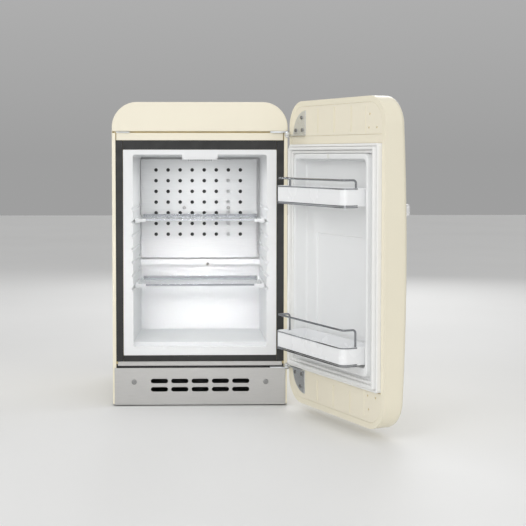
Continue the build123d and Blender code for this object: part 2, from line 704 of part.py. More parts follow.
def handle():
    """The bright handle: a horizontal bar on two pedestals."""
    bar = box(-142, 34, OUTER - 44, OUTER - 31, 454, 478.5)
    bar = fillet(bar.edges().filter_by(Axis.Y), 7)
    bar = fillet(bar.edges().group_by(Axis.Y)[0], 4.5)
    bar = fillet(bar.edges().group_by(Axis.Y)[-1], 2.5)
    for x in (-122, 14):
        post = box(x - 9, x + 9, OUTER - 33, OUTER + 8, 457, 475.5)
        bar += fillet(post.edges().filter_by(Axis.Y), 6)
    return hung(bar - door_block(0))


# ---- door bins ----
def bin_outline(grow):
    """The outline of a bin in X and Y, with rounded front corners, grown outwards."""
    middle = (BIN_FRONT + BIN_BACK) / 2
    outline = Pos(0, middle) * Rectangle(2 * (BIN_HALF + grow), BIN_FRONT - BIN_BACK + 2 * grow)
    return fillet(outline.vertices().group_by(Axis.Y)[-1], BIN_RADIUS + grow)


def bin_tray(floor):
    """A moulded bottle tray, open at the top, with a low back wall."""
    tray = flat_plate(bin_outline(0), floor, floor + BIN_HEIGHT)
    tray -= flat_plate(bin_outline(-BIN_WALL), floor + BIN_WALL, floor + BIN_HEIGHT + 1)
    tray = fillet(tray.edges().group_by(Axis.Z)[0], 1.2)
    for side in (-1, 1):
        x = side * (BIN_HALF - 4.5)
        tray += box(side * (BIN_HALF - 1), side * (BIN_HALF - 9), INNER + 26, INNER + 36,
                    floor + 1, floor + BIN_HEIGHT - 2)
        tray -= upright(x, INNER + 31, floor + BIN_HEIGHT - 15, floor + BIN_HEIGHT, 2.25)
    return hung(tray)


def bin_trims(floor):
    """Bright strips round the front of a tray, one at the top and two at the bottom."""
    strips = []
    for low, high in ((floor - 2.0, floor), (floor + 1.6, floor + 3.4),
                      (floor + BIN_HEIGHT - 2.8, floor + BIN_HEIGHT - 0.4)):
        ring = bin_outline(0.9) - bin_outline(0.05)
        if low < floor:
            ring = bin_outline(0.9) - bin_outline(-1.6)
        ring &= Pos(0, BIN_FRONT) * Rectangle(2 * BIN_HALF + 10, 70)
        strips.append(flat_plate(ring, low, high))
    return strips


def bin_rail(floor, rise):
    """The bright wire guard above a tray, with a leg at each end."""
    x, front, back = BIN_HALF - 4.5, BIN_FRONT - 4.5, INNER + 31
    low = floor + BIN_HEIGHT - 14
    high = floor + BIN_HEIGHT + rise
    points = [(-x, back, low), (-x, back, high), (-x, front, high),
              (x, front, high), (x, back, high), (x, back, low)]
    return pipe(points, 7, 2.2)


def bin_guard(floor, rise):
    """The bright parts of a bin: its wire guard and its strips."""
    return hung(grouped(bin_rail(floor, rise), *bin_trims(floor)))


# ---- shelves ----
def shelf_height(name):
    """The middle of the groove that a shelf runs in."""
    return GUIDE_TOP - SHELF_LEVELS[name] * GUIDE_PITCH


def shelf_glass(name):
    """The glass plate of a shelf, with polished edges."""
    z = shelf_height(name)
    plate = box(-146.6, 146.6, SHELF_FRONT + 2.2, SHELF_BACK - 2.6, z + 0.9, z + 0.9 + GLASS_THICK)
    return chamfer(plate.edges().group_by(Axis.Z)[-1], 0.4)


def rail_strip(side, inner, beyond, z0, z1):
    """A strip along a cavity wall, from an inner X to a distance beyond the wall."""
    front, back = wall_x(SHELF_FRONT) + beyond, wall_x(SHELF_BACK) + beyond
    outline = Polygon((side * inner, SHELF_FRONT), (side * front, SHELF_FRONT),
                      (side * back, SHELF_BACK), (side * inner, SHELF_BACK), align=None)
    return flat_plate(outline, z0, z1)


def shelf_rails(name):
    """The two side rails of a shelf: a tongue in the groove, a ledge, an edge and an end block."""
    z = shelf_height(name)
    rails = []
    for side in (-1, 1):
        rail = rail_strip(side, 141, 2.2, z - 2.1, z + 0.8)
        rail += rail_strip(side, 141, -0.8, z - 4.2, z + 0.8)
        rail += rail_strip(side, 146.8, -0.8, z + 0.8, z + 6.4)
        block = box(side * 128, side * 152, SHELF_FRONT - 1.5, SHELF_FRONT + 2, z - 1.8, z + 5.2)
        rails.append(rail + fillet(block.edges().filter_by(Axis.Y), 1.2))
    return grouped(*rails)


def shelf_trims(name):
    """The bright front strip and the rear stop strip of a shelf."""
    z = shelf_height(name)
    front = box(-127.8, 127.8, SHELF_FRONT - 0.6, SHELF_FRONT + 2.1, z + 0.9, z + 5.1)
    back = box(-140.8, 140.8, SHELF_BACK - 2.5, SHELF_BACK, z - 0.6, z + 9.4)
    lip = box(-140.8, 140.8, SHELF_BACK - 8, SHELF_BACK - 2.5, z - 0.6, z + 0.8)
    return grouped(front, back + lip)


# ---- inside fittings ----
def cold_plate():
    """The brushed plate on the back wall, perforated above and plain below."""
    plate = box(-147.2, 141, PLATE_Y, PLATE_Y + 1.2, 325, 570.6)
    for column in range(8):
        for row in range(7):
            plate -= lengthwise(-110 + 30 * column, 544 - 26.7 * row, PLATE_Y - 1, PLATE_Y + 2, 4.5)
    for x in PLATE_SCREWS:
        plate -= lengthwise(x, 450, PLATE_Y - 1, PLATE_Y + 2, 2.1)
    return plate - box(67, 71.5, PLATE_Y - 1, PLATE_Y + 2, 568, 572)


def evaporator():
    """The dark cooling plates behind the cold plate, on each side of the liner's ribs."""
    plate = box(-132, 128, 233.4, 237.4, 345, 560)
    for low, high in LINER_RIBS:
        plate -= box(low - 1, high + 1, 233, 238, 340, RIB_TOP + 1)
    return grouped(plate)


def lamp_housing():
    """The moulded lamp cover on the ceiling, just behind the front edge."""
    shell = box(-41, 41, 1, 86, 570.6, 579.6)
    shell = fillet(shell.edges().filter_by(Axis.Z), 5)
    shell -= box(-38.5, 38.5, 3.5, 83.5, 572.4, 582)
    shell -= box(-31.4, 31.4, 8, 78, 569, 573)
    return shell + box(-41, 41, -0.8, 0, 574.6, 584) + box(-41, 41, 0, 3, 574.6, 581.8)


def lamp_lens():
    """The ribbed lens below the lamp."""
    lens = box(-31, 31, 8.4, 77.6, 566.4, 572.2)
    for rib in range(11):
        x = (rib - 5) * 5.3
        lens -= box(x - 1.1, x + 1.1, 7, 16, 565, 570.6)
        lens -= box(x - 1.1, x + 1.1, 7, 79, 565, 567.4)
    return lens


def lamp_board():
    """The circuit board of the lamp with its row of light-emitting diodes."""
    board = box(-30, 30, 20, 66, 576, 577.6)
    for x in (-20, 0, 20):
        board += box(x - 2.5, x + 2.5, 40.5, 45.5, 574.6, 576)
    return board


# ---- machine space behind the insulation ----
def absorber_vessel():
    """The horizontal vessel that holds the working fluid."""
    tank = crosswise(UNIT_Y, 122, -84, 90, 32)
    return fillet(tank.edges(), 9)


def absorber_coil():
    """The serpentine tube that rises from the vessel."""
    points = [(COIL_LEFT, UNIT_Y, 140)]
    for turn in range(6):
        start, end = (COIL_LEFT, COIL_RIGHT) if turn % 2 == 0 else (COIL_RIGHT, COIL_LEFT)
        points.append((start, UNIT_Y, 180 + 38 * turn))
        points.append((end, UNIT_Y, 192 + 38 * turn))
    points += [(COIL_LEFT, UNIT_Y, FEED_Z), (FEED_X, UNIT_Y, FEED_Z), (FEED_X, 237.6, FEED_Z)]
    return pipe(points, 11, 8) - absorber_vessel()


def condenser_pipe():
    """The sloping tube at the top, from the boiler over to the return."""
    points = [(135, UNIT_Y, 524), (135, UNIT_Y, 616), (-150, UNIT_Y, 602),
              (-150, UNIT_Y, 480), (COIL_LEFT, UNIT_Y, 480)]
    return pipe(points, 14, 9) - absorber_coil()


def cooling_circuit():
    """The steel tubes of the cooling unit: the coil up to the evaporator, and the condenser."""
    return grouped(absorber_coil(), condenser_pipe())


def condenser_fins():
    """The thin square fins on the condenser tube."""
    fins = []
    for index in range(22):
        x = -119 + index * 11
        z = 602 + 14 * (x + 150) / 285
        fin = box(x - 0.4, x + 0.4, 330, 394, z - 28, z + 21)
        fins.append(fin - crosswise(UNIT_Y, z, x - 3, x + 3, 9.9))
    return grouped(*fins)


def boiler_jacket():
    """The sheet-metal jacket round the boiler."""
    jacket = box(112, 178, 318, 384, 170, 520)
    jacket = fillet(jacket.edges().filter_by(Axis.Z), 6)
    hollow = fillet(box(113, 177, 319, 383, 171, 519).edges().filter_by(Axis.Z), 5)
    return jacket - hollow - upright(135, UNIT_Y, 160, 530, 11.2)


def boiler_tube():
    """The boiler pipe from the vessel, with a pocket for the heater."""
    tube = pipe([(90, UNIT_Y, 122), (135, UNIT_Y, 122), (135, UNIT_Y, 524)], 16, 11)
    pocket = upright(154, UNIT_Y, 182, 300, 8)
    web = box(137, 152, UNIT_Y - 3, UNIT_Y + 3, 190, 290)
    return tube + web + pocket - upright(154, UNIT_Y, 190, 310, 5.1)


def heater_cartridge():
    """The electric heater in the pocket of the boiler."""
    return upright(154, UNIT_Y, 190.2, 304, 5.0)


def drain_tube():
    """The tube from the gutter to the machine space."""
    return drain_channel(4.4) - drain_channel(3.2)


# ---- electrical box at the back ----
def control_box():
    """The moulded box with the thermostat and the mains inlet, low at the back."""
    low, high = CONTROL_LOW, CONTROL_LOW + 70
    case = box(-182, -92, 330, 398, low, high)
    case = fillet(case.edges().filter_by(Axis.Y), 4)
    case -= box(-180, -94, 332, 396, low + 2, high - 2)
    case -= box(-127.2, -99.8, 395, 399, low + 18, low + 38)
    return case - lengthwise(KNOB_X, low + 32, 395, 399, 3.1)


def mains_inlet():
    """A three-pin appliance inlet with a recessed socket."""
    low = CONTROL_LOW + 18.2
    body = box(-127, -100, 376, 400.4, low, low + 19.6)
    body += box(-129, -98, 398.1, 400.4, low - 4.2, low + 23.8)
    body -= box(-125, -102, 382, 401, low + 2.2, low + 17.4)
    for x, rise in ((-120.5, 7.8), (-113.5, 11.8), (-106.5, 7.8)):
        body += box(x - 0.9, x + 0.9, 381, 396, low + rise - 2, low + rise + 2)
    return body


def thermostat():
    """The control behind the knob, with its shaft."""
    z = CONTROL_LOW + 32
    body = box(KNOB_X - 14, KNOB_X + 14, 372, 395.8, z - 12, z + 12)
    return body + lengthwise(KNOB_X, z, 395, 408, 3.0)


def thermostat_knob():
    """The rotary knob with a raised pointer."""
    z = CONTROL_LOW + 32
    knob = lengthwise(KNOB_X, z, 399, 412, 14)
    knob = fillet(knob.edges().group_by(Axis.Y)[-1], 1.5)
    knob += box(KNOB_X - 1.2, KNOB_X + 1.2, 410, 413.4, z, z + 12.5)
    return knob - lengthwise(KNOB_X, z, 398, 408.4, 3.05)


# ---- hand over every piece ----
def cabinet_pieces():
    """The pieces that stand still."""
    return {
        "outer_case": outer_case(),
        "fascia": fascia(),
        "top_rail": top_rail(),
        "frame_stiles": frame_stiles(),
        "frame_crossmembers": frame_crossmembers(),
        "inner_liner": inner_liner(),
        "insulation_foam": insulation_foam(),
        "rear_panel": rear_panel(),
        "base_plate": base_plate(),
        "front_rail": front_rail(),
        "foot_sockets": foot_sockets(),
        "plinth": plinth(),
        "plinth_trim": plinth_trim(),
        "hinge_blank": hinge_blank(),
        "cabinet_hinge_brackets": cabinet_hinge_brackets(),
        "hinge_anchor": hinge_anchor(),
        "cabinet_screws": cabinet_screws(),
        "hinge_pins": hinge_pins(),
        "cold_plate": cold_plate(),
        "evaporator": evaporator(),
        "lamp_housing": lamp_housing(),
        "lamp_lens": lamp_lens(),
        "lamp_board": lamp_board(),
        "drain_tube": drain_tube(),
    }


def machine_pieces():
    """The cooling unit and the electrical box behind the insulation."""
    return {
        "absorber_vessel": absorber_vessel(),
        "cooling_circuit": cooling_circuit(),
        "condenser_fins": condenser_fins(),
        "boiler_jacket": boiler_jacket(),
        "boiler_tube": boiler_tube(),
        "heater_cartridge": heater_cartridge(),
        "control_box": control_box(),
        "mains_inlet": mains_inlet(),
        "thermostat": thermostat(),
        "thermostat_knob": thermostat_knob(),
    }


def door_pieces():
    """The pieces that swing with the door."""
    return {
        "door_shell": door_shell(),
        "door_foam": door_foam(),
        "door_liner": door_liner(),
        "liner_plug": liner_plug(),
        "door_top_cap": door_top_cap(),
        "door_bottom_cap": door_bottom_cap(),
        "door_strip": door_strip(),
        "door_gasket": door_gasket(),
        "door_hinge_leaves": door_hinge_leaves(),
        "hinge_bushes": hinge_bushes(),
        "leaf_screws": leaf_screws(),
        "handle": handle(),
    }


def loose_pieces():
    """The bins, the shelves and the feet, which each move on their own."""
    pieces = {}
    for name, floor in BIN_FLOORS.items():
        pieces[f"{name}_bin_tray"] = bin_tray(floor)
        pieces[f"{name}_bin_guard"] = bin_guard(floor, BIN_RAIL_RISE[name])
    for name in SHELF_LEVELS:
        pieces[f"{name}_shelf_glass"] = shelf_glass(name)
        pieces[f"{name}_shelf_rails"] = shelf_rails(name)
        pieces[f"{name}_shelf_trims"] = shelf_trims(name)
    for name, (x, y) in foot_places().items():
        pieces[f"foot_{name}"] = levelling_foot(x, y)
    return pieces


os.makedirs("parts", exist_ok=True)
for node, shape in {**cabinet_pieces(), **machine_pieces(), **door_pieces(), **loose_pieces()}.items():
    export_step(shape, f"parts/{node}.step")
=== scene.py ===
import json
import math

import bmesh
import bpy
from mathutils import Matrix, Vector


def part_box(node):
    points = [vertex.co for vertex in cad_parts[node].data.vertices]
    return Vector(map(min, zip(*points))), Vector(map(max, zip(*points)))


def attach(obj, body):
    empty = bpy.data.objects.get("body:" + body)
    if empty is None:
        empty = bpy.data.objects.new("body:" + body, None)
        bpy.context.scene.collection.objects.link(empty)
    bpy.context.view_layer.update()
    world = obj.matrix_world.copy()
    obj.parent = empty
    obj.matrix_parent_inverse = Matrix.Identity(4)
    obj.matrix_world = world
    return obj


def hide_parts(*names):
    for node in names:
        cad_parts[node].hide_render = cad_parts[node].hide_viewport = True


bl_info = {
    "name": "Rounded Mini Fridge",
    "version": (1, 0, 0),
    "blender": (4, 5, 0),
    "location": "3D View > Sidebar > Mini Fridge",
    "description": "Gives the packed mini fridge its mouldings, its finishes and a studio",
    "category": "Object",
}

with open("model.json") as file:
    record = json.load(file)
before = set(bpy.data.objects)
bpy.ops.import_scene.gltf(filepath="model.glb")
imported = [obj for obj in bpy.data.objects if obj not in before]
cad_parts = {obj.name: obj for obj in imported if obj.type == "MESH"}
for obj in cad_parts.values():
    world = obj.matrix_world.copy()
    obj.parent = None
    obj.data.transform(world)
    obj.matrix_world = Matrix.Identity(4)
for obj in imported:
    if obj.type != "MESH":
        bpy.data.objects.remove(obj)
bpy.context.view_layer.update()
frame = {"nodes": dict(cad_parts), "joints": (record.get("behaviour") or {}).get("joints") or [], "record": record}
RECORD = frame["record"]
SLOT_OF = {part["node"]: part["material_slot"] for part in RECORD["subparts"]}
BODY_OF = {node: body for body, nodes in RECORD["behaviour"]["bodies"].items() for node in nodes}
HINGE = next(joint for joint in frame["joints"] if joint["name"] == "door_hinge")

MM = 0.001
APART = 0.5
HARD_ANGLE = 30.0
LENS_PITCH = 5.3 * MM
RIDGE_HEIGHT = 14 * MM
RECESS_DEPTH = 17 * MM
SUNK_EDGE = 102 * MM
SUNK_TOP = 408 * MM
PLUG_INSET = 0.2 * MM
GUARD_LEG = 46 * MM
# The door panel's ridge and recess, as growth outwards, corner radius and rise, in millimetres.
RIDGE_PROFILE = ((1.6, 17.5, 0.0), (0.5, 16.5, 0.5), (0.0, 16.0, 1.6), (-0.4, 15.6, 11.2),
                 (-1.1, 15.0, 12.8), (-2.4, 14.0, 13.7), (-3.6, 13.0, 14.0))
RECESS_PROFILE = ((3.0, 13.0, 14.0), (1.3, 11.6, 13.6), (0.4, 10.8, 12.4), (0.0, 10.4, 10.5),
                  (-0.8, 9.8, -12.4), (-1.6, 9.2, -14.8), (-3.4, 8.0, -16.4), (-6.0, 6.0, -17.0))
# The seal's section and the lower edge of a tray, as distance inwards and rise, in millimetres.
SEAL_PROFILE = ((0.0, 0.0), (0.0, 7.6), (0.5, 8.6), (1.6, 9.1), (3.0, 9.2), (4.4, 9.1), (5.4, 8.6),
                (5.9, 7.6), (6.1, 4.6), (6.5, 4.6), (6.7, 13.2), (7.2, 14.5), (8.3, 15.3),
                (10.0, 15.5), (11.7, 15.3), (12.8, 14.5), (13.3, 13.2), (13.5, 4.6), (13.9, 4.6),
                (14.1, 7.6), (14.6, 8.6), (15.6, 9.1), (17.0, 9.2), (18.4, 9.1), (19.5, 8.6),
                (20.0, 7.6), (20.0, 0.0))
TRAY_FOOT_PROFILE = ((4.0, 0.0), (1.6, 0.3), (0.5, 1.4), (0.0, 3.2))
# The camera's place in metres, its lens in millimetres and its angles in degrees.
CAMERA_PLACE = (0.0092, -2.7874, 0.5793)
CAMERA_LENS = 82.81
CAMERA_SHIFT = (0.06, -0.10)
CAMERA_DIP = 2.586
CAMERA_TURN = 1.304


# ---- numbers and places ----
def shade(red, green, blue):
    """A colour given as a display shows it, from 0 to 255, turned into linear light."""
    values = [channel / 255 for channel in (red, green, blue)]
    return tuple(v / 12.92 if v <= 0.04045 else ((v + 0.055) / 1.055) ** 2.4 for v in values)


def swing():
    """The turn that carries a point of the closed door to where the door rests."""
    pivot = Matrix.Translation(Vector(HINGE["pos_m"]))
    angle = -math.radians(HINGE["range_deg"][0])
    return pivot @ Matrix.Rotation(angle, 4, "Z") @ pivot.inverted()


def closed_box(node):
    """A door node's lowest and highest corner with the door closed."""
    back = swing().inverted()
    points = [back @ vertex.co for vertex in frame["nodes"][node].data.vertices]
    low = Vector([min(p[axis] for p in points) for axis in range(3)])
    high = Vector([max(p[axis] for p in points) for axis in range(3)])
    return low, high


# ---- material parts ----
class Finish:
    """A material under construction: one Principled shader and the patterns that feed it."""

    def __init__(self, name, **constants):
        self.material = bpy.data.materials.new(name)
        self.material.use_nodes = True
        self.tree = self.material.node_tree
        self.shader = self.tree.nodes["Principled BSDF"]
        self.place = self.add("ShaderNodeTexCoord").outputs["Object"]
        for socket, value in constants.items():
            self.shader.inputs[socket.replace("_", " ")].default_value = value

    def add(self, kind, **settings):
        node = self.tree.nodes.new(kind)
        for key, value in settings.items():
            setattr(node, key, value)
        return node

    def link(self, output, target):
        self.tree.links.new(output, target)

    def feed(self, socket, output):
        self.link(output, self.shader.inputs[socket])

    def stretched(self, stretch):
        """Object coordinates with each axis multiplied, to draw a pattern out along one axis."""
        mapping = self.add("ShaderNodeMapping")
        mapping.inputs["Scale"].default_value = stretch
        self.link(self.place, mapping.inputs["Vector"])
        return mapping.outputs["Vector"]

    def noise(self, scale, detail=3.0, stretch=(1, 1, 1), roughness=0.5):
        node = self.add("ShaderNodeTexNoise")
        node.inputs["Scale"].default_value = scale
        node.inputs["Detail"].default_value = detail
        node.inputs["Roughness"].default_value = roughness
        self.link(self.stretched(stretch), node.inputs["Vector"])
        return node.outputs["Fac"]

    def cells(self, scale, output="Distance", stretch=(1, 1, 1)):
        node = self.add("ShaderNodeTexVoronoi")
        node.inputs["Scale"].default_value = scale
        self.link(self.stretched(stretch), node.inputs["Vector"])
        return node.outputs[output]

    def ramp(self, factor, *stops):
        """Colours spread over a pattern, each stop being a position and a colour."""
        node = self.add("ShaderNodeValToRGB")
        elements = node.color_ramp.elements
        while len(elements) < len(stops):
            elements.new(0.5)
        for element, (position, colour) in zip(elements, stops):
            element.position = position
            element.color = (*colour, 1)
        self.link(factor, node.inputs["Fac"])
        return node.outputs["Color"]

    def spread(self, factor, low, high, start=0.35, end=0.65):
        """A number that moves between two values with a pattern."""
        node = self.add("ShaderNodeMapRange")
        for socket, value in zip(("From Min", "From Max", "To Min", "To Max"), (start, end, low, high)):
            node.inputs[socket].default_value = value
        self.link(factor, node.inputs["Value"])
        return node.outputs["Result"]

    def tone(self, colour, amount, scale, stretch=(1, 1, 1)):
        """The base colour with a slow drift to slightly darker and lighter."""
        dark = [channel * (1 - amount) for channel in colour]
        light = [min(channel * (1 + amount), 1) for channel in colour]
        pattern = self.noise(scale, 4, stretch)
        self.feed("Base Color", self.ramp(pattern, (0.3, dark), (0.5, colour), (0.7, light)))

    def gloss(self, low, high, scale, stretch=(1, 1, 1)):
        self.feed("Roughness", self.spread(self.noise(scale, 3, stretch), low, high))

    def relief(self, height, depth, strength):
        """Raises the surface by a pattern, to a depth in metres."""
        node = self.add("ShaderNodeBump")
        node.inputs["Strength"].default_value = strength
        node.inputs["Distance"].default_value = depth
        self.link(height, node.inputs["Height"])
        self.feed("Normal", node.outputs["Normal"])


def enamel(name, colour):
    """Sprayed paint: a faint orange peel under a clear gloss, with a slow drift of colour."""
    made = Finish(name, Coat_Weight=0.3, Coat_Roughness=0.14)
    made.tone(colour, 0.006, 3)
    made.gloss(0.285, 0.32, 12)
    made.relief(made.noise(420, 2), 0.00002, 0.25)
    return made.material


def moulding(name, colour, rough=0.38, grain=900.0):
    """Moulded plastic: a fine even grain, slightly uneven gloss and flow marks in the colour."""
    made = Finish(name, IOR=1.49)
    made.tone(colour, 0.007, 5, (1, 1, 2.5))
    made.gloss(rough - 0.015, rough + 0.025, 14)
    made.relief(made.noise(grain, 2), 0.00002, 0.3)
    return made.material


def brushed(name, colour, rough, along=(1, 60, 60), contrast=0.07, metallic=1.0):
    """Metal with fine drawn lines, coarse along one axis and fine across it."""
    made = Finish(name, Metallic=metallic)
    lines = made.noise(34, 6, along, 0.65)
    dark = [channel * (1 - contrast) for channel in colour]
    light = [min(channel * (1 + contrast), 1) for channel in colour]
    made.feed("Base Color", made.ramp(lines, (0.32, dark), (0.5, colour), (0.68, light)))
    made.feed("Roughness", made.spread(lines, rough - 0.06, rough + 0.08))
    made.relief(lines, 0.00003, 0.5)
    return made.material


def spangled(name, colour, rough=0.42):
    """Galvanised sheet: zinc crystals in flat patches with faint edges."""
    made = Finish(name, Metallic=1.0)
    patches = made.cells(85, "Color")
    grey = made.add("ShaderNodeRGBToBW")
    made.link(patches, grey.inputs["Color"])
    dark = [channel * 0.84 for channel in colour]
    made.feed("Base Color", made.ramp(grey.outputs["Val"], (0.2, dark), (0.8, colour)))
    made.feed("Roughness", made.spread(grey.outputs["Val"], rough - 0.08, rough + 0.1, 0.2, 0.8))
    made.relief(made.noise(300, 3), 0.00004, 0.4)
    return made.material


def bright_plate(name, colour, rough=0.09, metallic=1.0):
    """Polished plating with faint wipe marks."""
    made = Finish(name, Metallic=metallic)
    made.tone(colour, 0.02, 18)
    made.feed("Roughness", made.spread(made.noise(60, 5, (1, 4, 4)), rough, rough + 0.07, 0.4, 0.75))
    made.relief(made.noise(90, 2), 0.00002, 0.3)
    return made.material


def pane(name, colour):
    """Clear toughened glass with a trace of surface film."""
    made = Finish(name, Transmission_Weight=0.92, IOR=1.5, Specular_IOR_Level=0.4, Alpha=0.25)
    made.tone(colour, 0.01, 14)
    made.gloss(0.03, 0.08, 26)
    made.relief(made.noise(8, 1), 0.00001, 0.05)
    return made.material


def ribbed(name, colour):
    """A milky lens that lets light through, with painted shade inside the slots between its ribs."""
    made = Finish(name, Transmission_Weight=0.2, IOR=1.49)
    split = made.add("ShaderNodeSeparateXYZ")
    made.link(made.place, split.inputs["Vector"])
    wave = made.add("ShaderNodeMath", operation="PINGPONG")
    made.link(split.outputs["X"], wave.inputs[0])
    wave.inputs[1].default_value = LENS_PITCH / 2
    # painted shade: dark grey within 1 mm of each multiple of the lens pitch along X, where the slots stand,
    # fading out by 1.3 mm
    slot_shade = made.spread(wave.outputs["Value"], 0, 1, 1.0 * MM, 1.3 * MM)
    made.feed("Base Color", made.ramp(slot_shade, (0.0, shade(70, 71, 73)), (1.0, colour)))
    made.gloss(0.24, 0.34, 120)
    made.relief(made.noise(700, 2), 0.00004, 0.4)
    return made.material


def soft_rubber(name, colour):
    """Seal rubber: a dull skin with fine dust-like grain."""
    made = Finish(name, Sheen_Weight=0.12, Sheen_Roughness=0.5)
    made.tone(colour, 0.02, 22)
    made.gloss(0.5, 0.62, 70)
    made.relief(made.noise(1100, 3), 0.00004, 0.5)
    return made.material


def cellular(name, colour):
    """Rigid foam with its open cut cells."""
    made = Finish(name)
    made.tone(colour, 0.07, 60)
    made.gloss(0.8, 0.95, 90)
    made.relief(made.cells(520), 0.0006, 0.8)
    return made.material


def satin_black(name, colour, grain=620.0, rough=0.45):
    """Dark paint or plastic with a fine spark texture."""
    made = Finish(name)
    made.tone(colour, 0.12, 26)
    made.gloss(rough - 0.07, rough + 0.08, 55)
    made.relief(made.cells(grain), 0.00006, 0.5)
    return made.material


def printed_board(name, colour):
    """A white board with pale tracks under its mask."""
    made = Finish(name)
    bricks = made.add("ShaderNodeTexBrick")
    bricks.inputs["Scale"].default_value = 60
    bricks.inputs["Mortar Size"].default_value = 0.03
    for socket, factor in (("Color1", 1.0), ("Color2", 0.96), ("Mortar", 0.78)):
        bricks.inputs[socket].default_value = (*[channel * factor for channel in colour], 1)
    made.link(made.place, bricks.inputs["Vector"])
    made.feed("Base Color", bricks.outputs["Color"])
    made.gloss(0.25, 0.4, 80)
    made.relief(bricks.outputs["Fac"], 0.00005, 0.4)
    return made.material


def slot_finishes(colours):
    """A maker for each material slot of the record."""
    cream = colours.cream
    white = colours.white
    return {
        "cream_paint": lambda n: enamel(n, cream),
        "cream_moulding": lambda n: moulding(n, colours.cream_plastic, 0.36, 700),
        "dark_frame": lambda n: satin_black(n, colours.frame, 900, 0.48),
        "white_liner": lambda n: moulding(n, white, 0.34, 500),
        "foam_core": lambda n: cellular(n, shade(225, 205, 150)),
        "galvanised_steel": lambda n: spangled(n, shade(196, 199, 202)),
        "black_steel": lambda n: satin_black(n, shade(34, 34, 35), 700, 0.42),
        "brushed_plinth": lambda n: brushed(n, colours.aluminium, 0.36),
        "cold_plate_metal": lambda n: brushed(n, colours.cold_plate, 0.5, (1, 50, 50), 0.06, 0.5),
        "evaporator_black": lambda n: satin_black(n, shade(24, 24, 26), 400, 0.5),
        "hinge_steel": lambda n: brushed(n, colours.hinge, 0.32, (6, 6, 40), 0.05),
        "screw_steel": lambda n: bright_plate(n, shade(150, 150, 149), 0.3),
        "bush_plastic": lambda n: moulding(n, shade(232, 232, 228), 0.42),
        "lamp_lens": lambda n: ribbed(n, shade(246, 248, 250)),
        "circuit_board": lambda n: printed_board(n, shade(235, 236, 238)),
        "unit_steel": lambda n: satin_black(n, shade(44, 45, 47), 500, 0.4),
        "fin_aluminium": lambda n: brushed(n, shade(205, 207, 209), 0.38, (40, 40, 3), 0.05),
        "jacket_steel": lambda n: spangled(n, shade(204, 206, 208), 0.36),
        "heater_steel": lambda n: brushed(n, shade(176, 174, 170), 0.34, (40, 40, 3), 0.08),
        "control_plastic": lambda n: satin_black(n, shade(38, 38, 40), 800, 0.5),
        "inlet_plastic": lambda n: satin_black(n, shade(26, 26, 28), 1200, 0.36),
        "knob_plastic": lambda n: moulding(n, shade(225, 223, 215), 0.4),
        "seal_rubber": lambda n: soft_rubber(n, colours.seal),
        "door_panel": lambda n: moulding(n, colours.door_panel, 0.34, 450),
        # painted dark reflection: the trims' chrome gets a darker colour than real chrome, standing in for
        # reflections of dark surroundings
        "chrome_trim": lambda n: bright_plate(n, shade(142, 144, 148)),
        # painted bright reflection: the handle is a near-white, half-metallic copy of the same chrome, lit
        # brighter than the trims
        "handle_chrome": lambda n: bright_plate(n, shade(246, 246, 248), 0.14, 0.5),
        "bin_plastic": lambda n: moulding(n, colours.bins, 0.26, 600),
        "shelf_glass": lambda n: pane(n, shade(232, 240, 238)),
        "shelf_plastic": lambda n: moulding(n, white, 0.32),
        "foot_plastic": lambda n: satin_black(n, shade(30, 30, 31), 1000, 0.48),
    }


def finish(slot):
    """The finished material of a slot, made once."""
    name = f"fridge_{slot}"
    if name in bpy.data.materials:
        return bpy.data.materials[name]
    return slot_finishes(bpy.context.scene.fridge_colours)[slot](name)


# ---- shape parts ----
def outline(bm, half, low, high, low_radius, high_radius, rise, segments):
    """A rectangle in X and Y with rounded corners, at a height, made from one quad."""
    verts = bmesh.ops.create_grid(bm, x_segments=1, y_segments=1, size=0.5)["verts"]
    bmesh.ops.scale(bm, vec=(2 * half, high - low, 1), verts=verts)
    bmesh.ops.translate(bm, vec=(0, (low + high) / 2, rise), verts=verts)
    face = verts[0].link_faces[0]
    corners = sorted(verts, key=lambda vertex: vertex.co.y)
    for pair, radius in ((corners[:2], low_radius), (corners[2:], high_radius)):
        made = bmesh.ops.bevel(bm, geom=pair, offset=radius, offset_type="OFFSET", segments=segments,
                               profile=0.5, affect="VERTICES", material=-1)
        face = next(iter(made["verts"])).link_faces[0]
    return face


def shell(stations, segments, closed=False, lids=(True, True)):
    """A skin through rounded outlines, each given as half, low, high, two radii and a height.

    The outlines stand well apart while they are joined, and then move to their own heights.
    """
    bm = bmesh.new()
    faces = [outline(bm, *station[:5], index * APART, segments) for index, station in enumerate(stations)]
    rings = [(list(face.edges), list(face.verts)) for face in faces]
    keep = {face for face, kept in ((faces[0], lids[0]), (faces[-1], lids[1])) if kept and not closed}
    bmesh.ops.delete(bm, geom=[face for face in faces if face not in keep], context="FACES_ONLY")
    pairs = list(zip(rings, rings[1:]))
    if closed:
        pairs.append((rings[-1], rings[0]))
    for (lower, _), (upper, _) in pairs:
        bmesh.ops.bridge_loops(bm, edges=lower + upper)
    bmesh.ops.recalc_face_normals(bm, faces=bm.faces)
    for index, ((_, verts), station) in enumerate(zip(rings, stations)):
        bmesh.ops.translate(bm, vec=(0, 0, station[5] - index * APART), verts=verts)
    return bm


def upright_plane(offset):
    """Turns X, Y and height of a drawn shape into X, Z and Y, starting at a depth."""
    return Matrix(((-1, 0, 0, 0), (0, 0, 1, offset), (0, 1, 0, 0), (0, 0, 0, 1)))


def block(bm, low, high, radius, segments):
    """A rounded block between two corners, added to a mesh."""
    size = high - low
    made = bmesh.ops.create_cube(bm, size=1)
    bmesh.ops.scale(bm, vec=size, verts=made["verts"])
    bmesh.ops.translate(bm, vec=(low + high) / 2, verts=made["verts"])
    edges = list(dict.fromkeys(edge for vertex in made["verts"] for edge in vertex.link_edges))
    bmesh.ops.bevel(bm, geom=edges, offset=radius, offset_type="OFFSET", segments=segments,
                    profile=0.5, affect="EDGES", material=-1)


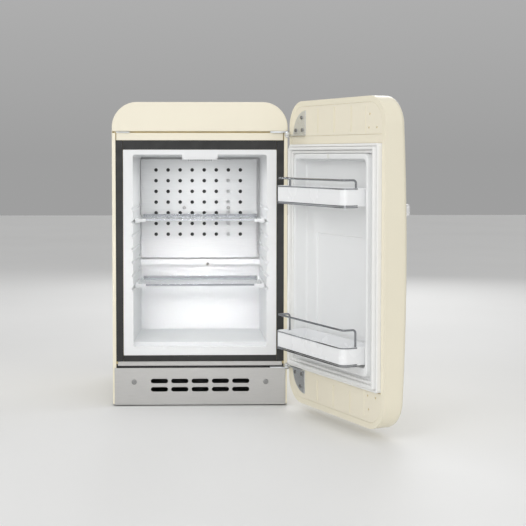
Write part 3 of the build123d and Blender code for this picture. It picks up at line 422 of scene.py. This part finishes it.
def cad_copy(node):
    """A copy of a CAD node's mesh with its loose triangles joined."""
    bm = bmesh.new()
    bm.from_mesh(frame["nodes"][node].data)
    bmesh.ops.remove_doubles(bm, verts=bm.verts, dist=0.002 * MM)
    bmesh.ops.dissolve_limit(bm, angle_limit=math.radians(0.6), use_dissolve_boundaries=False,
                             verts=bm.verts, edges=bm.edges)
    bmesh.ops.recalc_face_normals(bm, faces=bm.faces)
    return bm


def sharp_edges(bm, angle):
    return [edge for edge in bm.edges if len(edge.link_faces) == 2 and edge.calc_face_angle(0) > angle]


def publish(bm, name, node, turn=None, smooth=38.0):
    """Makes a mesh a shown piece that stands for a CAD node and moves with it."""
    if turn:
        bmesh.ops.transform(bm, matrix=turn, verts=bm.verts)
        bmesh.ops.recalc_face_normals(bm, faces=bm.faces)
    mesh = bpy.data.meshes.new(name)
    bm.to_mesh(mesh)
    bm.free()
    mesh.shade_smooth()
    mesh.set_sharp_from_angle(angle=math.radians(smooth))
    piece = bpy.data.objects.new(name, mesh)
    bpy.context.scene.collection.objects.link(piece)
    mesh.materials.append(finish(SLOT_OF[node]))
    even = piece.modifiers.new("even_shading", "WEIGHTED_NORMAL")
    even.weight = 100
    even.keep_sharp = True
    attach(piece, BODY_OF[node])
    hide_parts(node)
    return piece


def soften(node, name, width, turn=None):
    """A CAD node with its hard edges rounded by a small width, and moved if a matrix is given."""
    bm = cad_copy(node)
    bmesh.ops.bevel(bm, geom=sharp_edges(bm, math.radians(HARD_ANGLE)), offset=width,
                    offset_type="OFFSET", segments=2, profile=0.5, affect="EDGES", clamp_overlap=True,
                    material=-1)
    return publish(bm, name, node, turn)


def carry_over(*nodes):
    """Gives CAD nodes whose shape is right their finished materials."""
    for node in nodes:
        cad = frame["nodes"][node]
        if not cad.material_slots:
            cad.data.materials.append(None)
        for material_slot in cad.material_slots:
            material_slot.material = finish(SLOT_OF[node])


# ---- what a user may change ----
class FridgeColours(bpy.types.PropertyGroup):
    """Colours of the fridge, as linear light."""

    cream: bpy.props.FloatVectorProperty(
        name="Case", description="Paint of the case and the door", subtype="COLOR", min=0, max=1,
        default=shade(243, 236, 214))
    cream_plastic: bpy.props.FloatVectorProperty(
        name="Cream Mouldings", description="Plastic of the fascia, the rail and the end caps",
        subtype="COLOR", min=0, max=1, default=shade(242, 235, 215))
    white: bpy.props.FloatVectorProperty(
        name="Liner", description="Plastic of the inside of the cabinet", subtype="COLOR", min=0,
        max=1, default=shade(236, 237, 238))
    door_panel: bpy.props.FloatVectorProperty(
        name="Door Panel", description="Plastic of the inside of the door", subtype="COLOR", min=0,
        max=1, default=shade(241, 242, 242))
    bins: bpy.props.FloatVectorProperty(
        name="Bins", description="Plastic of the bottle trays", subtype="COLOR", min=0, max=1,
        default=shade(246, 247, 248))
    seal: bpy.props.FloatVectorProperty(
        name="Seal", description="Rubber of the door seal", subtype="COLOR", min=0, max=1,
        default=shade(242, 242, 240))
    frame: bpy.props.FloatVectorProperty(
        name="Frame", description="Dark paint round the opening", subtype="COLOR", min=0, max=1,
        default=shade(32, 32, 31))
    aluminium: bpy.props.FloatVectorProperty(
        name="Kick Plate", description="Brushed metal of the kick plate", subtype="COLOR", min=0,
        max=1, default=shade(190, 189, 187))
    cold_plate: bpy.props.FloatVectorProperty(
        name="Cold Plate", description="Brushed metal of the perforated plate", subtype="COLOR",
        min=0, max=1, default=shade(212, 213, 214))
    hinge: bpy.props.FloatVectorProperty(
        name="Hinges", description="Plated steel of the hinge plates", subtype="COLOR", min=0,
        max=1, default=shade(214, 217, 220))


class FridgeSizes(bpy.types.PropertyGroup):
    """Small radii that soften the pieces, in metres."""

    sheet_edge: bpy.props.FloatProperty(
        name="Sheet Edge", description="Rounding of cut metal edges", subtype="DISTANCE",
        unit="LENGTH", default=0.15 * MM, min=0.02 * MM, max=MM)
    moulded_edge: bpy.props.FloatProperty(
        name="Moulded Edge", description="Rounding of moulded plastic edges", subtype="DISTANCE",
        unit="LENGTH", default=0.4 * MM, min=0.05 * MM, max=2 * MM)
    tray_wall: bpy.props.FloatProperty(
        name="Tray Wall", description="Thickness of a bottle tray's wall", subtype="DISTANCE",
        unit="LENGTH", default=2.0 * MM, min=MM, max=4 * MM)


class FridgeStage(bpy.types.PropertyGroup):
    """Studio light and floor."""

    key_power: bpy.props.FloatProperty(
        name="Key", description="Power of the large light on the left", unit="POWER", default=18.5,
        min=0)
    fill_power: bpy.props.FloatProperty(
        name="Fill", description="Power of the light on the right", unit="POWER", default=4.5,
        min=0)
    front_power: bpy.props.FloatProperty(
        name="Front", description="Power of the light that reaches into the cabinet",
        unit="POWER", default=15.0, min=0)
    top_power: bpy.props.FloatProperty(
        name="Top", description="Power of the light overhead", unit="POWER", default=7.0, min=0)
    back_power: bpy.props.FloatProperty(
        name="Back", description="Power of the light behind", unit="POWER", default=18.0, min=0)
    cabinet_power: bpy.props.FloatProperty(
        name="Cabinet Lamp", description="Power of the fridge's own lamp", unit="POWER",
        default=0.3, min=0)
    cavity_power: bpy.props.FloatProperty(
        name="Cavity", description="Power of the narrow light aimed into the cabinet",
        unit="POWER", default=0.125, min=0)
    sky: bpy.props.FloatProperty(
        name="Surroundings", description="Strength of the even light all round", default=0.56,
        min=0, max=2)
    floor: bpy.props.FloatVectorProperty(
        name="Floor", description="Colour of the floor", subtype="COLOR", min=0, max=1,
        default=shade(236, 236, 235))


# ---- operators ----
class FRIDGE_OT_case(bpy.types.Operator):
    """Round the edges of the cream fascia and rail, and finish the painted case"""

    bl_idname = "fridge.case"
    bl_label = "Case"

    def execute(self, context):
        width = context.scene.fridge_sizes.moulded_edge
        soften("fascia", "top_fascia", width)
        soften("top_rail", "cream_rail", width / 2)
        carry_over("outer_case")
        return {"FINISHED"}


class FRIDGE_OT_front_frame(bpy.types.Operator):
    """Build the dark frame round the opening, and the brushed kick plate below it"""

    bl_idname = "fridge.front_frame"
    bl_label = "Front Frame and Kick Plate"

    def execute(self, context):
        edge = context.scene.fridge_sizes.sheet_edge
        soften("frame_stiles", "dark_stiles", edge)
        soften("frame_crossmembers", "dark_crossbars", edge)
        soften("plinth", "kick_plate", edge * 1.6)
        soften("plinth_trim", "kick_plate_strip", edge)
        carry_over("front_rail", "base_plate", "foot_sockets")
        return {"FINISHED"}


class FRIDGE_OT_cavity(bpy.types.Operator):
    """Finish the white tub, round the edges of its perforated cold plate and finish its lamp"""

    bl_idname = "fridge.cavity"
    bl_label = "Inside of the Cabinet"

    def execute(self, context):
        sizes = context.scene.fridge_sizes
        soften("cold_plate", "perforated_plate", sizes.sheet_edge)
        soften("lamp_housing", "lamp_cover", sizes.moulded_edge / 2)
        soften("lamp_lens", "ribbed_lens", sizes.moulded_edge / 2)
        carry_over("inner_liner", "evaporator", "lamp_board", "drain_tube", "insulation_foam")
        return {"FINISHED"}


class FRIDGE_OT_shelves(bpy.types.Operator):
    """Build the two glass shelves with their side rails and bright strips"""

    bl_idname = "fridge.shelves"
    bl_label = "Shelves"

    def execute(self, context):
        sizes = context.scene.fridge_sizes
        for level in ("upper", "lower"):
            soften(f"{level}_shelf_glass", f"{level}_glass_plate", sizes.moulded_edge)
            soften(f"{level}_shelf_rails", f"{level}_side_rails", sizes.sheet_edge * 1.5)
            soften(f"{level}_shelf_trims", f"{level}_bright_strips", sizes.sheet_edge * 1.5)
        return {"FINISHED"}


class FRIDGE_OT_door_panel(bpy.types.Operator):
    """Form the white panel inside the door, with a soft ridge round its recess"""

    bl_idname = "fridge.door_panel"
    bl_label = "Door Panel"

    def execute(self, context):
        low, high = closed_box("door_liner")
        foot = high.y - RIDGE_HEIGHT
        half = high.x
        ridge = (half - 31.1 * MM, low.z + 26.7 * MM, high.z - 20.2 * MM)
        recess = (ridge[0] - 8 * MM, ridge[1] + 18 * MM, ridge[2] - 12.5 * MM)
        steps = [(half, low.z, high.z, 3 * MM, 3 * MM, rise) for rise in (-2 * MM, 0)]
        for base, profile in ((ridge, RIDGE_PROFILE), (recess, RECESS_PROFILE)):
            for grow, radius, rise in profile:
                steps.append((base[0] + grow * MM, base[1] - grow * MM, base[2] + grow * MM,
                              radius * MM, radius * MM, rise * MM))
        bm = shell(steps, 8, lids=(False, True))
        back = next(face for face in bm.faces if len(face.verts) > 8)
        if back.normal.z < 0:
            bmesh.ops.reverse_faces(bm, faces=bm.faces)
        self.sunk_panel(bm)
        bmesh.ops.solidify(bm, geom=bm.faces, thickness=1.6 * MM)
        bmesh.ops.transform(bm, matrix=upright_plane(foot), verts=bm.verts)
        for lug_low, lug_high in self.lugs(recess[0], foot):
            block(bm, lug_low, lug_high, 1.2 * MM, 3)
        publish(bm, "moulded_door_panel", "door_liner", swing())
        inwards = swing().to_3x3() @ Vector((0, -PLUG_INSET, 0))
        soften("liner_plug", "filling_plug", 0.2 * MM, turn=Matrix.Translation(inwards))
        carry_over("door_foam")
        return {"FINISHED"}

    def flat_back(self, bm):
        """The faces at the bottom of the recess."""
        return [face for face in bm.faces
                if abs(face.calc_center_median().z + RECESS_DEPTH) < 0.1 * MM]

    def sunk_panel(self, bm):
        """The slightly deeper part of the recess, on the far side from the hinge and low down."""
        for place, normal in (((-SUNK_EDGE, 0, 0), (1, 0, 0)), ((0, SUNK_TOP, 0), (0, 1, 0))):
            parts = dict.fromkeys(element for face in self.flat_back(bm)
                                  for element in (face, *face.edges, *face.verts))
            bmesh.ops.bisect_plane(bm, geom=list(parts), plane_co=place, plane_no=normal)
        target = [face for face in self.flat_back(bm) if face.calc_center_median().x > -SUNK_EDGE
                  and face.calc_center_median().y < SUNK_TOP]
        bmesh.ops.inset_region(bm, faces=target, thickness=1.4 * MM, depth=-2.4 * MM,
                               use_even_offset=True)

    def lugs(self, half, foot):
        """The two steps in each side of the recess that a tray hangs on."""
        places = []
        for level in ("upper", "lower"):
            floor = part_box(f"{level}_bin_tray")[0].z
            for side in (-1, 1):
                ends = sorted((side * (half + 0.6 * MM), side * (half - 8 * MM)))
                places.append((Vector((ends[0], foot - 16.6 * MM, floor - 6.4 * MM)),
                               Vector((ends[1], foot + 6 * MM, floor - 0.4 * MM))))
        return places


class FRIDGE_OT_seal(bpy.types.Operator):
    """Sweep the bellows of the magnetic seal round the door"""

    bl_idname = "fridge.seal"
    bl_label = "Door Seal"

    def execute(self, context):
        low, high = closed_box("door_gasket")
        stations = []
        for inset, rise in SEAL_PROFILE:
            radius = max(6.0 - inset * 0.25, 1.0) * MM
            stations.append((high.x - inset * MM, low.z + inset * MM, high.z - inset * MM,
                             radius, radius, rise * MM))
        bm = shell(stations, 4, closed=True)
        bmesh.ops.transform(bm, matrix=upright_plane(low.y), verts=bm.verts)
        publish(bm, "bellows_seal", "door_gasket", swing(), 60)
        return {"FINISHED"}


class FRIDGE_OT_door_case(bpy.types.Operator):
    """Finish the painted door skin and round the grooves of its end caps"""

    bl_idname = "fridge.door_case"
    bl_label = "Door Skin and End Caps"

    def execute(self, context):
        width = context.scene.fridge_sizes.moulded_edge
        soften("door_top_cap", "upper_end_cap", width * 0.75)
        soften("door_bottom_cap", "lower_end_cap", width * 0.75)
        soften("door_strip", "cream_door_strip", width * 0.75)
        carry_over("door_shell", "handle")
        return {"FINISHED"}


class FRIDGE_OT_hinges(bpy.types.Operator):
    """Finish the hinge plates, brackets, pins and screws"""

    bl_idname = "fridge.hinges"
    bl_label = "Hinges and Screws"

    def execute(self, context):
        edge = context.scene.fridge_sizes.sheet_edge
        soften("hinge_blank", "blank_hinge_plate", edge * 2)
        soften("cabinet_hinge_brackets", "hinge_brackets", edge)
        carry_over("door_hinge_leaves", "hinge_bushes", "hinge_pins", "hinge_anchor", "leaf_screws",
                   "cabinet_screws")
        return {"FINISHED"}


class FRIDGE_OT_bins(bpy.types.Operator):
    """Mould the two bottle trays, and finish their wire guards"""

    bl_idname = "fridge.bins"
    bl_label = "Bottle Trays"

    def execute(self, context):
        wall = context.scene.fridge_sizes.tray_wall
        for level in ("upper", "lower"):
            node = f"{level}_bin_tray"
            low, high = closed_box(node)
            half, depth = high.x, (low.y, high.y)
            top = high.z - low.z
            steps = [(inset * MM, rise * MM)
                     for inset, rise in TRAY_FOOT_PROFILE]
            steps += [(0.0, top - 0.7 * MM), (0.3 * MM, top - 0.2 * MM), (0.8 * MM, top),
                      (wall - 0.7 * MM, top), (wall - 0.2 * MM, top - 0.2 * MM), (wall, top - 0.8 * MM),
                      (wall + 0.3 * MM, 5.4 * MM), (wall + 1.2 * MM, 3.2 * MM), (wall + 3.6 * MM, wall)]
            stations = [(half - inset, depth[0] + inset, depth[1] - inset, max(3 * MM - inset, MM),
                         max(14 * MM - inset, 8 * MM), rise) for inset, rise in steps]
            bm = shell(stations, 8)
            bmesh.ops.translate(bm, vec=(0, 0, low.z), verts=bm.verts)
            for side in (-1, 1):
                self.boss(bm, side * (half - 5 * MM), low, high)
            publish(bm, f"{level}_bottle_tray", node, swing())
            carry_over(f"{level}_bin_guard")
        return {"FINISHED"}

    def boss(self, bm, x, low, high):
        """The socket that holds one leg of the wire guard."""
        reach = 4.2 * MM
        leg = low.y + GUARD_LEG
        block(bm, Vector((x - reach, leg - 5 * MM, low.z + MM)),
              Vector((x + reach, leg + 5 * MM, high.z - 2 * MM)), 0.8 * MM, 3)


class FRIDGE_OT_machine_space(bpy.types.Operator):
    """Finish the back: rear panel, cooling unit and electrical box"""

    bl_idname = "fridge.machine_space"
    bl_label = "Cooling Unit"

    def execute(self, context):
        sizes = context.scene.fridge_sizes
        soften("control_box", "electrical_box", sizes.moulded_edge)
        soften("mains_inlet", "appliance_inlet", sizes.sheet_edge * 2)
        carry_over("rear_panel", "absorber_vessel", "cooling_circuit", "condenser_fins",
                   "boiler_jacket", "boiler_tube", "heater_cartridge", "thermostat", "thermostat_knob")
        return {"FINISHED"}


class FRIDGE_OT_feet(bpy.types.Operator):
    """Finish the four levelling feet"""

    bl_idname = "fridge.feet"
    bl_label = "Feet"

    def execute(self, context):
        carry_over("foot_front_left", "foot_front_right", "foot_rear_left", "foot_rear_right")
        return {"FINISHED"}


class FRIDGE_OT_studio(bpy.types.Operator):
    """Set up the pale floor, the soft lights and the camera"""

    bl_idname = "fridge.studio"
    bl_label = "Studio"

    def execute(self, context):
        stage = context.scene.fridge_stage
        self.floor(stage)
        self.surroundings(context.scene, stage)
        self.lamp("key_light", (-1.5, -2.1, 1.7), (0, 0.0, 0.35), 1.8, stage.key_power)
        self.lamp("fill_light", (1.9, -2.0, 1.1), (0.1, 0.0, 0.35), 1.6, stage.fill_power)
        self.lamp("front_light", (-0.1, -3.2, 0.8), (0, 0.1, 0.36), 1.5, stage.front_power)
        self.lamp("top_light", (0.1, -0.2, 2.3), (0.1, 0.05, 0.3), 1.6, stage.top_power)
        self.lamp("back_light", (0.5, 2.4, 1.5), (0, 0.2, 0.35), 1.8, stage.back_power)
        lens_low, lens_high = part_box("lamp_lens")
        below = ((lens_low.x + lens_high.x) / 2, (lens_low.y + lens_high.y) / 2, lens_low.z - MM)
        self.lamp("cabinet_lamp", below, (below[0], below[1] + 0.02, 0), 0.05, stage.cabinet_power)
        self.lamp("cavity_light", (-0.02, -1.5, 0.8), (0, 0.2, 0.25), 0.2, stage.cavity_power, 13)
        self.camera(context.scene)
        return {"FINISHED"}

    def floor(self, stage):
        """A wide level floor with a faint mottle."""
        bm = bmesh.new()
        bmesh.ops.create_grid(bm, x_segments=12, y_segments=12, size=9)
        mesh = bpy.data.meshes.new("studio_floor")
        bm.to_mesh(mesh)
        bm.free()
        made = Finish("studio_floor")
        made.tone(stage.floor, 0.02, 0.8)
        made.gloss(0.45, 0.6, 1.5)
        made.relief(made.noise(40, 3), 0.0002, 0.1)
        mesh.materials.append(made.material)
        floor = bpy.data.objects.new("studio_floor", mesh)
        bpy.context.scene.collection.objects.link(floor)

    def surroundings(self, scene, stage):
        """Even pale light, a little darker near the ground."""
        world = bpy.data.worlds.new("studio_surroundings")
        world.use_nodes = True
        tree = world.node_tree
        background = tree.nodes["Background"]
        background.inputs["Strength"].default_value = stage.sky
        direction = tree.nodes.new("ShaderNodeTexCoord").outputs["Generated"]
        split = tree.nodes.new("ShaderNodeSeparateXYZ")
        ramp = tree.nodes.new("ShaderNodeValToRGB")
        for element, (position, level) in zip(ramp.color_ramp.elements, ((0.0, 0.62), (0.35, 1.0))):
            element.position = position
            element.color = (level, level, level, 1)
        tree.links.new(direction, split.inputs["Vector"])
        tree.links.new(split.outputs["Z"], ramp.inputs["Fac"])
        tree.links.new(ramp.outputs["Color"], background.inputs["Color"])
        scene.world = world

    def lamp(self, name, place, target, size, power, spread=180):
        """A square soft light turned towards a target, with its spread in degrees."""
        light = bpy.data.lights.new(name, "AREA")
        light.size = size
        light.energy = power
        light.spread = math.radians(spread)
        lamp = bpy.data.objects.new(name, light)
        lamp.location = place
        lamp.rotation_euler = (Vector(target) - Vector(place)).to_track_quat("-Z", "Y").to_euler()
        bpy.context.scene.collection.objects.link(lamp)

    def camera(self, scene):
        """A long lens, a little above the middle of the fridge."""
        data = bpy.data.cameras.new("studio_camera")
        data.sensor_width = 36.0
        data.lens = CAMERA_LENS
        data.shift_x, data.shift_y = CAMERA_SHIFT
        camera = bpy.data.objects.new("studio_camera", data)
        camera.location = CAMERA_PLACE
        camera.rotation_euler = (math.radians(90 - CAMERA_DIP), 0, math.radians(-CAMERA_TURN))
        scene.collection.objects.link(camera)
        scene.camera = camera
        scene.view_settings.view_transform = "Standard"


OPERATORS = (
    FRIDGE_OT_case,
    FRIDGE_OT_front_frame,
    FRIDGE_OT_cavity,
    FRIDGE_OT_shelves,
    FRIDGE_OT_door_panel,
    FRIDGE_OT_seal,
    FRIDGE_OT_door_case,
    FRIDGE_OT_hinges,
    FRIDGE_OT_bins,
    FRIDGE_OT_machine_space,
    FRIDGE_OT_feet,
    FRIDGE_OT_studio,
)


class FRIDGE_PT_sidebar(bpy.types.Panel):
    """The fridge's tools and settings"""

    bl_label = "Mini Fridge"
    bl_idname = "FRIDGE_PT_sidebar"
    bl_space_type = "VIEW_3D"
    bl_region_type = "UI"
    bl_category = "Mini Fridge"

    def draw(self, context):
        for group in (context.scene.fridge_colours, context.scene.fridge_sizes, context.scene.fridge_stage):
            column = self.layout.column(align=True)
            for name in group.bl_rna.properties.keys():
                if name not in ("rna_type", "name"):
                    column.prop(group, name)
        column = self.layout.column(align=True)
        for operator in OPERATORS:
            column.operator(operator.bl_idname)


GROUPS = (FridgeColours, FridgeSizes, FridgeStage)


def register():
    for item in (*GROUPS, *OPERATORS, FRIDGE_PT_sidebar):
        bpy.utils.register_class(item)
    bpy.types.Scene.fridge_colours = bpy.props.PointerProperty(type=FridgeColours)
    bpy.types.Scene.fridge_sizes = bpy.props.PointerProperty(type=FridgeSizes)
    bpy.types.Scene.fridge_stage = bpy.props.PointerProperty(type=FridgeStage)


def unregister():
    del bpy.types.Scene.fridge_stage
    del bpy.types.Scene.fridge_sizes
    del bpy.types.Scene.fridge_colours
    for item in reversed((*GROUPS, *OPERATORS, FRIDGE_PT_sidebar)):
        bpy.utils.unregister_class(item)


def main():
    """Build every piece in order."""
    register()
    bpy.ops.fridge.case()
    bpy.ops.fridge.front_frame()
    bpy.ops.fridge.cavity()
    bpy.ops.fridge.shelves()
    bpy.ops.fridge.door_panel()
    bpy.ops.fridge.seal()
    bpy.ops.fridge.door_case()
    bpy.ops.fridge.hinges()
    bpy.ops.fridge.bins()
    bpy.ops.fridge.machine_space()
    bpy.ops.fridge.feet()
    bpy.ops.fridge.studio()


if __name__ == "__main__":
    main()
